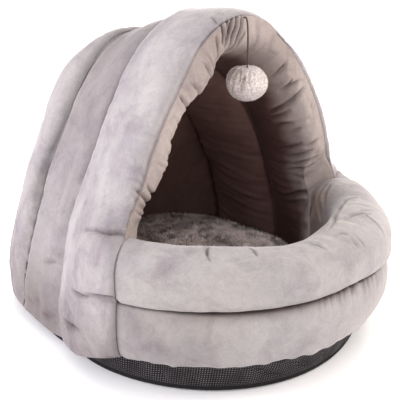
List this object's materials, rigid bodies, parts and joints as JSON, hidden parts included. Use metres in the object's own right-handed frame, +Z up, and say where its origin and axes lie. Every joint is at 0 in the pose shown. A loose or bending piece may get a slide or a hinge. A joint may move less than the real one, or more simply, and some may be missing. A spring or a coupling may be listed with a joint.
{
  "type": "padded cat cave",
  "caption": "Plush-covered padded pet cave: ribbed hood over a two-roll front sill, non-slip bottom, loose cushion and a toy ball hung in the mouth on an elastic cord.",
  "frame": {"origin": "middle of the cave's footprint, on the surface that it stands on", "axes": "+Z up, -Y out of the mouth, +X to the right seen from in front of the mouth"},
  "size_m": [0.4172, 0.4563, 0.3711],
  "materials": {
    "outer_plush": "short-pile mauve-grey plush over polyester filling, soft sheen",
    "nonslip_cloth": "black woven cloth with small raised rubber dots",
    "cushion_plush": "taupe long-pile plush",
    "ball_plush": "cream gathered plush",
    "elastic": "thin dark braided elastic"
  },
  "bodies": {
    "root": {"hood": "outer_plush", "sill": "outer_plush", "base": "nonslip_cloth", "cushion": "cushion_plush", "ball": "ball_plush", "ball_cord": "elastic"}
  },
  "joints": []
}
